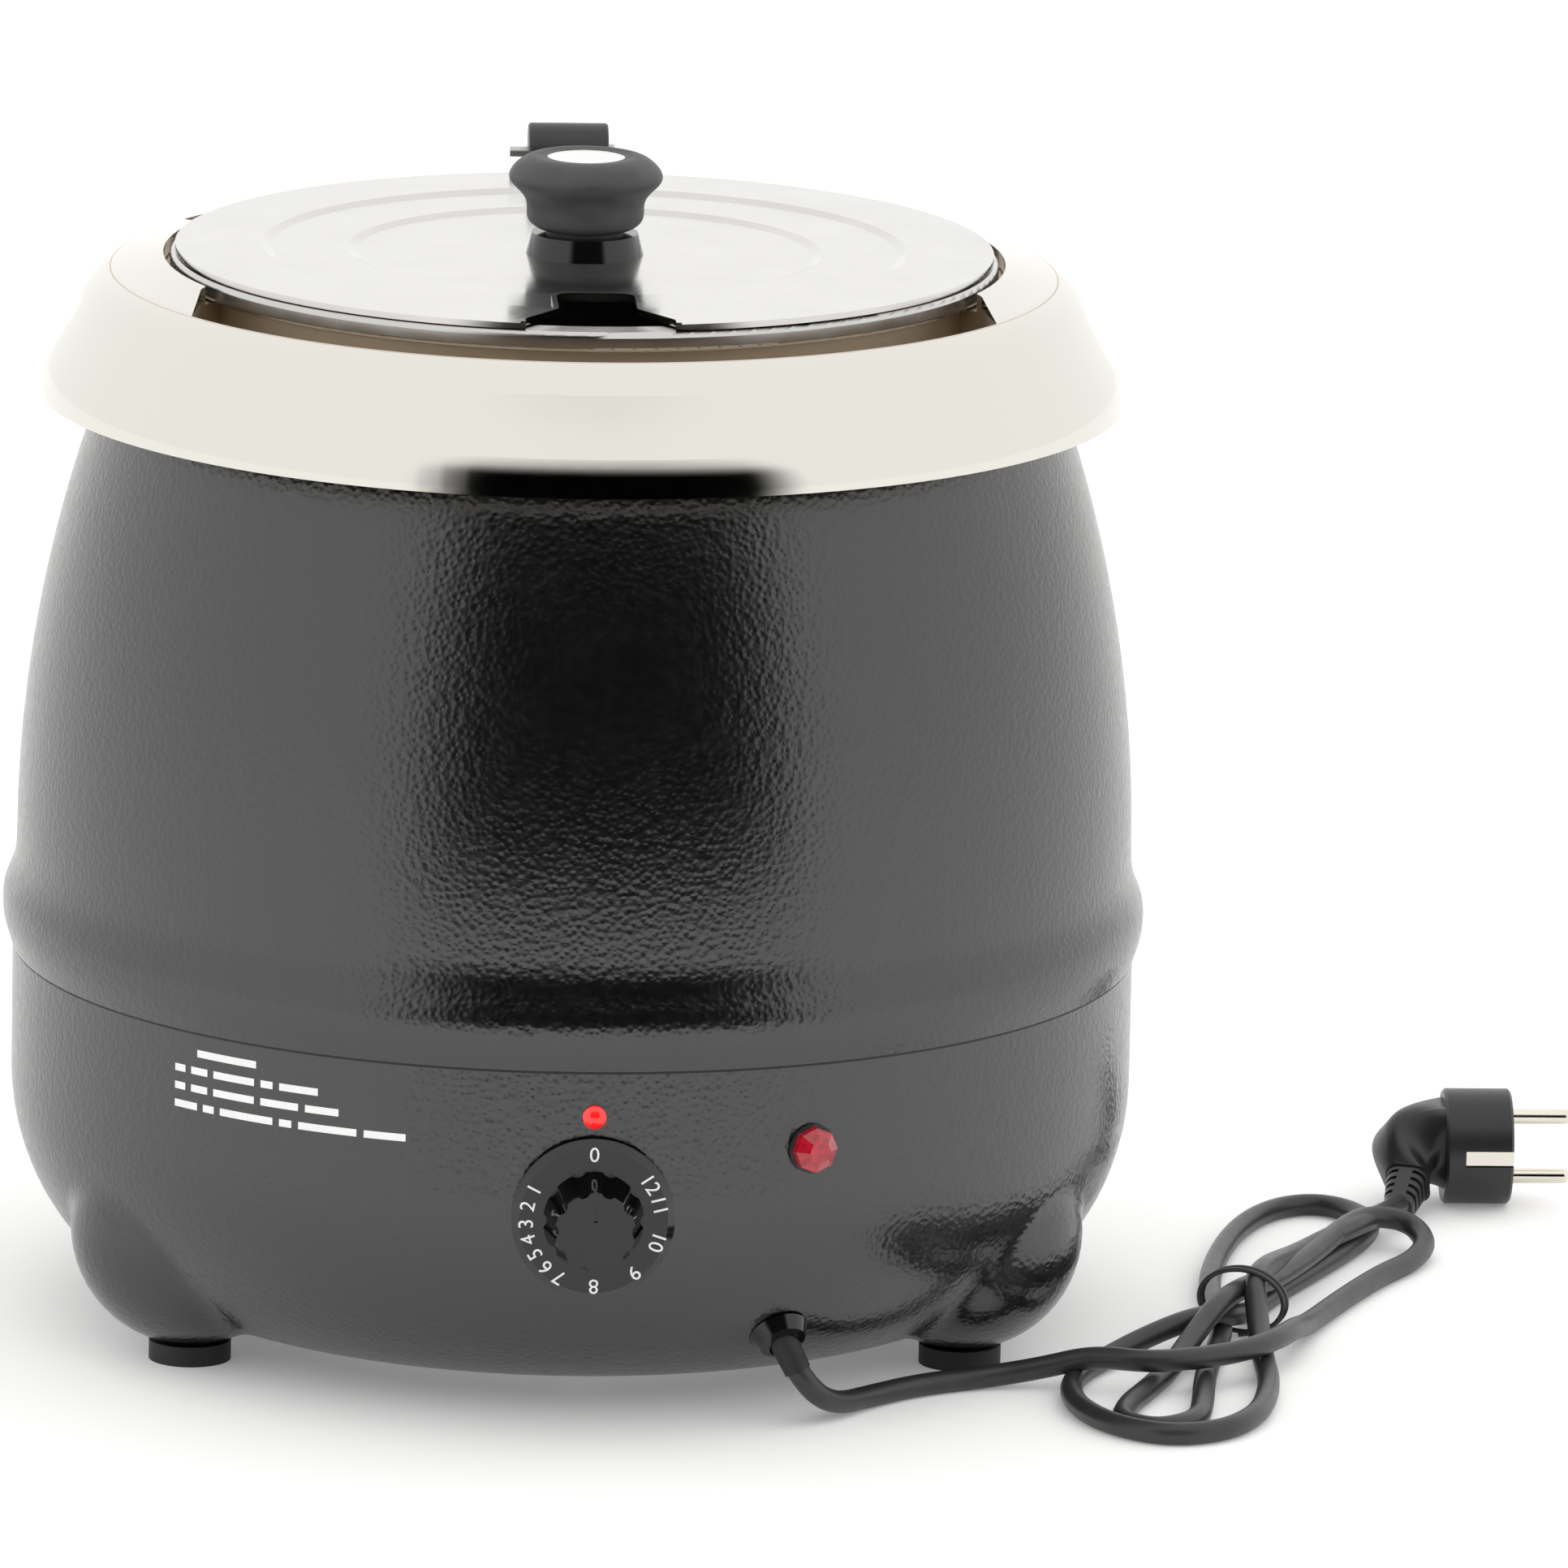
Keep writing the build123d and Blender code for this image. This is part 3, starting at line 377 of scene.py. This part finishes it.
NODE_LOOKS: dict[Look, tuple[str, ...]] = {
    Look.COAT: ("outer_shell", "lower_shell"),
    Look.POLISHED: ("top_ring",),
    Look.LID: ("lid", "knob_screw", "leaf_rivets"),
    Look.DRAWN: ("inner_pot", "water_well"),
    Look.ZINC: (
        "base_plate", "plate_screws", "foot_nuts", "flange_screws", "clip_screw", "thermostat",
        "thermostat_spindle", "thermostat_nut", "capillary", "heater_clamp", "clamp_bolt", "heat_shield",
        "tie_rod_left", "tie_rod_right", "tie_rod_rear", "hinge_pin"),
    Look.HEATER: ("heating_element",),
    Look.NICKEL: ("plug_pins", "plug_earth_clips"),
    Look.GLOSS: ("dial", "knob_collar", "cable_gland"),
    Look.BLACK: (
        "hinge_base", "hinge_leaf", "pilot_lamp_body", "pilot_nut", "index_lamp_body", "thermal_cutout"),
    Look.KNOB: ("knob",),
    Look.CAP: ("knob_cap",),
    Look.RUBBER: ("foot_left", "foot_right", "foot_rear", "strain_relief", "seam_gasket"),
    Look.PLUG: ("plug_body", "plug_boot"),
    Look.SILICONE: ("rim_gasket",),
    Look.CERAMIC: ("terminal_block",),
    Look.JEWEL: ("pilot_jewel",),
    Look.INDEX: ("index_lens",),
}


# ---- mesh and curve helpers ------------------------------------------------------------------
TUBE_BEVEL = 6  # steps in a quarter of a tube's section
TUBE_STEPS = 10  # steps between two control points
TUBE_ORDER = 3


def mesh_piece(name: str, shape: bmesh.types.BMesh, look: Look, body: Body) -> bpy.types.Object:
    """Turn a bmesh into a piece that rides on a body.

    Args:
        name: the piece's name.
        shape: its mesh, in the frame's coordinates; it is freed.
        look: its finish.
        body: what it rides on.

    Returns:
        The new object.
    """
    mesh = bpy.data.meshes.new(name)
    shape.to_mesh(mesh)
    shape.free()
    piece = bpy.data.objects.new(name, mesh)
    bpy.context.scene.collection.objects.link(piece)
    mesh.materials.append(dressed(look))
    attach(piece, body.value)
    return piece


def curve_piece(name: str, points: Sequence[Point], radius: float, look: Look) -> bpy.types.Object:
    """A round tube on one smooth curve, riding on the casing.

    Args:
        name: the piece's name.
        points: its control points, in metres.
        radius: its radius in metres.
        look: its finish.

    Returns:
        The new curve object.
    """
    data = bpy.data.curves.new(name, "CURVE")
    data.dimensions = "3D"
    data.bevel_depth = radius
    data.bevel_resolution = TUBE_BEVEL
    data.resolution_u = TUBE_STEPS
    data.use_fill_caps = True
    spline = data.splines.new("NURBS")
    spline.points.add(len(points) - 1)
    for control, point in zip(spline.points, points):
        control.co = (*point, 1.0)
    spline.order_u = TUBE_ORDER
    spline.use_endpoint_u = True
    data.materials.append(dressed(look))
    piece = bpy.data.objects.new(name, data)
    bpy.context.scene.collection.objects.link(piece)
    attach(piece, Body.CASING.value)
    return piece


def in_metres(points: Iterable[Point]) -> list[Point]:
    """Points in millimetres, as metres."""
    return [(x * MM, y * MM, z * MM) for x, y, z in points]


# ---- camera and studio -----------------------------------------------------------------------
@dataclass
class Studio:
    """Camera, floor and soft light round the kettle. Angles are in degrees."""

    eye: Point = (-0.2043, -4.7369, 1.2270)
    heading: float = 3.229
    pitch: float = 12.65
    roll: float = 1.16
    lens: float = 370.2
    sensor: float = 36.0
    sight: float = 50.0
    sky: Colour = (1.0, 0.995, 0.985)
    sky_strength: float = 1.2
    panel_roughness: float = 0.9
    floor_reach: float = 12.0
    floor_colour: Colour = (0.93, 0.93, 0.93)
    floor_glow: float = 0.16
    flag_distance: float = 1.15
    flag_height: float = 1.45
    flag_solid: float = 0.70
    flag_span: tuple[float, float] = (-0.90, 1.12)
    flag_fade: float = 0.42

    def build(self) -> None:
        """Place the camera, the sky, the floor and the flag."""
        self.camera()
        self.light()
        self.floor()
        self.flag()
        log.info("studio")

    def camera(self) -> None:
        """Long lens, a little above the kettle and turned slightly to the right."""
        data = bpy.data.cameras.new("camera")
        data.lens = self.lens
        data.sensor_width = self.sensor
        data.clip_end = self.sight
        camera = bpy.data.objects.new("camera", data)
        turned = Matrix.Rotation(radians(-self.heading), 4, "Z")
        tipped = Matrix.Rotation(radians(90 - self.pitch), 4, "X")
        rolled = Matrix.Rotation(radians(self.roll), 4, "Z")
        camera.matrix_world = Matrix.Translation(self.eye) @ (turned @ tipped) @ rolled
        bpy.context.scene.collection.objects.link(camera)
        bpy.context.scene.camera = camera

    def light(self) -> None:
        """Even, nearly white surroundings, shown without a film curve."""
        world = bpy.data.worlds.new("sky")
        world.use_nodes = True
        background = world.node_tree.nodes["Background"]
        background.inputs["Color"].default_value = (*self.sky, 1.0)
        background.inputs["Strength"].default_value = self.sky_strength
        bpy.context.scene.world = world
        bpy.context.scene.view_settings.view_transform = "Standard"

    def matt(self, name: str, colour: Colour, glow: float = 0.0) -> Shader:
        """Shader of a stage panel: plain and matt, with a white glow of that strength."""
        shader = Shader(name, colour, self.panel_roughness)
        shader.set("Specular IOR Level", 0.0)
        shader.set("Emission Color", (*WHITE, 1.0))
        shader.set("Emission Strength", glow)
        return shader

    def panel(self, name: str, corners: Sequence[Point], shader: Shader) -> bpy.types.Object:
        """A flat stage panel.

        Args:
            name: its name.
            corners: its corners in order.
            shader: what it is made of.

        Returns:
            The panel.
        """
        mesh = bpy.data.meshes.new(name)
        mesh.from_pydata(list(corners), [], [tuple(range(len(corners)))])
        panel = bpy.data.objects.new(name, mesh)
        bpy.context.scene.collection.objects.link(panel)
        mesh.materials.append(shader.material)
        return panel

    def floor(self) -> None:
        """Pale floor that runs out of sight."""
        reach = self.floor_reach
        corners = [(-reach, -reach, 0.0), (reach, -reach, 0.0), (reach, reach, 0.0), (-reach, reach, 0.0)]
        self.panel("floor", corners, self.matt("floor", self.floor_colour, self.floor_glow))

    def flag(self) -> None:
        """Black panel in front of the kettle, which shows only in its reflections."""
        left, right = self.flag_span
        y, top = -self.flag_distance, self.flag_height
        shader = self.matt("flag", BLACK)
        shader.set("Alpha", self.flag_cover(shader))
        flag = self.panel("flag", [(left, y, 0.0), (right, y, 0.0), (right, y, top), (left, y, top)], shader)
        flag.visible_camera = False
        flag.visible_diffuse = False
        flag.visible_shadow = False

    def flag_cover(self, shader: Shader) -> Socket:
        """Make the flag's opacity, which fades out towards both sides and the top."""
        left, right = self.flag_span
        parts = shader.node("SeparateXYZ", {0: shader.coordinates}).outputs
        cover = shader.fade(parts["X"], left, left + self.flag_fade)
        cover = shader.math("MULTIPLY", cover, shader.fade(parts["X"], right, right - self.flag_fade))
        return shader.math("MULTIPLY", cover, shader.fade(parts["Z"], self.flag_height, self.flag_solid))


# ---- mains lead ------------------------------------------------------------------------------
@dataclass
class MainsLead:
    """The lead: out of the strain relief, along the table, folded in a tied hank, and into the plug.

    Points and the tie's sizes are in millimetres. Each stretch goes on from the one before it.
    """

    diameter: float = 6.8 * MM
    length: float = 1.52
    outlet: Point = (62.5, -143.5, 17.1)
    lead: tuple[Point, ...] = (
        (66.4, -145.0, 11.2), (74.5, -136.0, 5.0), (85, -121, 3.5), (101, -107, 3.5), (121, -98, 3.5))
    across: tuple[Point, ...] = (
        (138, -98, 6.5), (153, -100, 10.8), (169, -107, 10.8), (185, -102, 10.8), (199, -92, 10.6),
        (210, -77, 10.4), (217, -58, 9), (222, -38, 4.5))
    first_fold: tuple[Point, ...] = (
        (231, -14, 3.5), (241, 8, 3.5), (251, 28, 3.5), (262, 45, 3.5), (268, 62, 5), (263, 74, 9),
        (250, 72, 11), (241, 58, 10.6))
    back: tuple[Point, ...] = (
        (233, 36, 10.5), (223, 12, 10.5), (213, -10, 11), (204, -30, 14.5), (195, -48, 14.5), (186, -66, 9),
        (177, -88, 3.6), (169, -110, 3.5), (161, -130, 3.5), (158, -148, 3.5), (168, -158, 3.5),
        (181, -147, 3.5), (184, -126, 3.5))
    rear_loop: tuple[Point, ...] = (
        (186, -104, 3.5), (189, -82, 3.5), (194, -58, 3.5), (197, -34, 3.5), (196, -8, 3.5), (197, 20, 3.5),
        (202, 50, 3.5), (210, 82, 3.5), (222, 108, 3.5), (237, 117, 3.5), (249, 107, 3.5), (253, 90, 3.5),
        (249, 72, 3.5))
    front_loop: tuple[Point, ...] = (
        (239, 50, 3.5), (227, 26, 3.5), (215, 2, 3.5), (207, -20, 4), (200, -40, 8), (188, -52, 10.8),
        (172, -62, 7), (158, -76, 3.5), (149, -94, 3.5), (145, -113, 3.5), (147, -134, 3.5), (156, -153, 3.5),
        (171, -164, 3.5), (188, -158, 3.5), (199, -140, 3.5), (204, -117, 3.5), (206, -96, 3.5))
    tail: tuple[Point, ...] = (
        (206, -74, 3.7), (206, -54, 9), (206, -36, 17.4), (210, -20, 17.6), (216, 2, 14), (224, 24, 10.6),
        (236, 46, 10.4), (248, 66, 10.2), (257, 84, 9), (262.4, 101, 7))
    tie_centre: Point = (203, -33, 10.9)
    tie_heading: float = 66.8
    tie_half_width: float = 14.0
    tie_half_height: float = 10.0
    tie_pitch: float = 3.0
    tie_turns: int = 2
    tie_steps: int = 14
    tie_radius: float = 0.75

    def route(self) -> list[Point]:
        """The whole route in metres, from the strain relief to the plug's boot."""
        stretches = (
            self.lead, self.across, self.first_fold, self.back, self.rear_loop, self.front_loop, self.tail)
        return in_metres([self.outlet, *(point for stretch in stretches for point in stretch)])

    def build(self) -> None:
        """Make the cord and the twist that ties its hank."""
        route = self.route()
        cord = curve_piece("mains_cord", route, self.diameter / 2, Look.SHEATH)
        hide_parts("cord_lead", "cord_hank", "cord_tail")
        log.info("mains lead")
        self.tie()

    def tie(self) -> None:
        """Thin twist wound twice round the middle of the hank."""
        heading = radians(self.tie_heading)
        x, y, z = self.tie_centre
        points = []
        for step in range(self.tie_turns * self.tie_steps):
            turns = step / self.tie_steps
            angle = 2 * pi * turns - pi / 2
            aside = self.tie_half_width * cos(angle)
            along = self.tie_pitch * (turns - self.tie_turns / 2)
            points.append((x + aside * sin(heading) + along * cos(heading),
                           y - aside * cos(heading) + along * sin(heading),
                           z + self.tie_half_height * sin(angle)))
        wire = curve_piece("twist_tie", in_metres(points), self.tie_radius * MM, Look.WIRE)
        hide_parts("cord_tie")
        log.info("twist tie")


# ---- printing --------------------------------------------------------------------------------
@dataclass
class DialScale:
    """White numbers on the dial's skirt, 0 at the top, at angles in degrees."""

    radius: float = 19.6 * MM
    digit_height: float = 4.5 * MM
    font_over_digit: float = 1.38
    ink: float = 0.02 * MM
    skirt: float = 4.0 * MM
    lift: float = 0.05 * MM
    angles: tuple[float, ...] = (0, -62, -77.5, -93, -107, -121, -135.5, -150, -181, -218, -251.6, -284, -304)

    def build(self) -> None:
        """Make all the numbers as one printed piece that turns with the dial."""
        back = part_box("dial")[1].y
        spindle_low, spindle_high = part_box("thermostat_spindle")
        axis = (spindle_low + spindle_high) / 2
        centre = Vector((axis.x, back - self.skirt - self.lift, axis.z))
        shape = bmesh.new()
        for number, angle in enumerate(self.angles):
            outwards = Vector((sin(radians(angle)), 0, cos(radians(angle))))
            self.add_number(shape, str(number), centre + self.radius * outwards, outwards)
        mesh_piece("dial_numbers", shape, Look.PRINT, Body.DIAL)
        log.info("dial numbers")

    def add_number(self, shape: bmesh.types.BMesh, text: str, place: Vector, outwards: Vector) -> None:
        """Add one number to the print.

        Args:
            shape: what it is added to.
            text: the number.
            place: its middle.
            outwards: its upward direction on the dial.
        """
        data = bpy.data.curves.new("number", "FONT")
        data.body = text
        data.size = self.font_over_digit * self.digit_height
        data.align_x = "CENTER"
        data.align_y = "CENTER"
        data.extrude = self.ink
        letter = bpy.data.objects.new("number", data)
        bpy.context.scene.collection.objects.link(letter)
        bpy.context.view_layer.update()
        mesh = bpy.data.meshes.new_from_object(letter)
        towards = Vector((0, -1, 0))
        turn = Matrix((outwards.cross(towards), outwards, towards)).transposed().to_4x4()
        mesh.transform(Matrix.Translation(place) @ turn)
        shape.from_mesh(mesh)
        bpy.data.objects.remove(letter)
        bpy.data.curves.remove(data)
        bpy.data.meshes.remove(mesh)


@dataclass
class PrintedNotice:
    """Rows of plain white dashes on the lower casing, in place of a printed notice.

    Sizes are in millimetres. A row starts that many degrees left of the front.
    """

    lift: float = 0.06
    height: float = 2.2
    gap: float = 2.3
    row_tops: tuple[float, ...] = (108.4, 103.0, 97.6, 92.2)
    row_starts: tuple[float, ...] = (43.0, 46.0, 46.0, 46.0)
    rows: tuple[tuple[float, ...], ...] = (
        (22,), (4.2, 6.4, 15, 4.2, 13), (4.2, 6.4, 15, 13, 11), (9, 4.2, 19, 4.2, 19, 13))
    dash_steps: int = 4

    def build(self) -> None:
        """Make the dashes as one thin printed piece on the casing."""
        radius = BASE_RADIUS + self.lift * MM
        shape = bmesh.new()
        for top, left, dashes in zip(self.row_tops, self.row_starts, self.rows):
            start = -radians(left)
            for dash in dashes:
                end = start + dash * MM / radius
                self.add_dash(shape, radius, (start, end), ((top - self.height) * MM, top * MM))
                start = end + self.gap * MM / radius
        mesh_piece("printed_lines", shape, Look.PRINT, Body.CASING)
        log.info("printed lines")

    def add_dash(
            self, shape: bmesh.types.BMesh, radius: float, span: tuple[float, float],
            rise: tuple[float, float]) -> None:
        """Add one dash that follows the round casing.

        Args:
            shape: what it is added to.
            radius: distance from the kettle's axis.
            span: its first and last azimuth, in radians.
            rise: its lowest and highest point.
        """
        start, end = span
        low, high = rise
        rim = []
        for step in range(self.dash_steps + 1):
            azimuth = start + (end - start) * step / self.dash_steps
            rim.append((radius * sin(azimuth), -radius * cos(azimuth)))
        for (x0, y0), (x1, y1) in zip(rim, rim[1:]):
            corners = [(x0, y0, low), (x1, y1, low), (x1, y1, high), (x0, y0, high)]
            shape.faces.new([shape.verts.new(corner) for corner in corners])


# ---- dressing of the frame -------------------------------------------------------------------
class Dresser:
    """Gives every node of the frame its finish."""

    def build(self) -> None:
        """Assign the finishes, and log a node that has none."""
        wanted = {node: look for look, nodes in NODE_LOOKS.items() for node in nodes}
        for name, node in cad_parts.items():
            look = wanted.get(name, Look.BLACK)
            for slot in node.material_slots:
                slot.material = dressed(look)
            if name not in wanted:
                log.info("node %s takes the black plastic", name)
        log.info("dressed %d nodes", len(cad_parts))


def main() -> None:
    """Build the scene, piece by piece."""
    Studio().build()
    MainsLead().build()
    Dresser().build()
    DialScale().build()
    PrintedNotice().build()


if __name__ == "__main__":
    main()
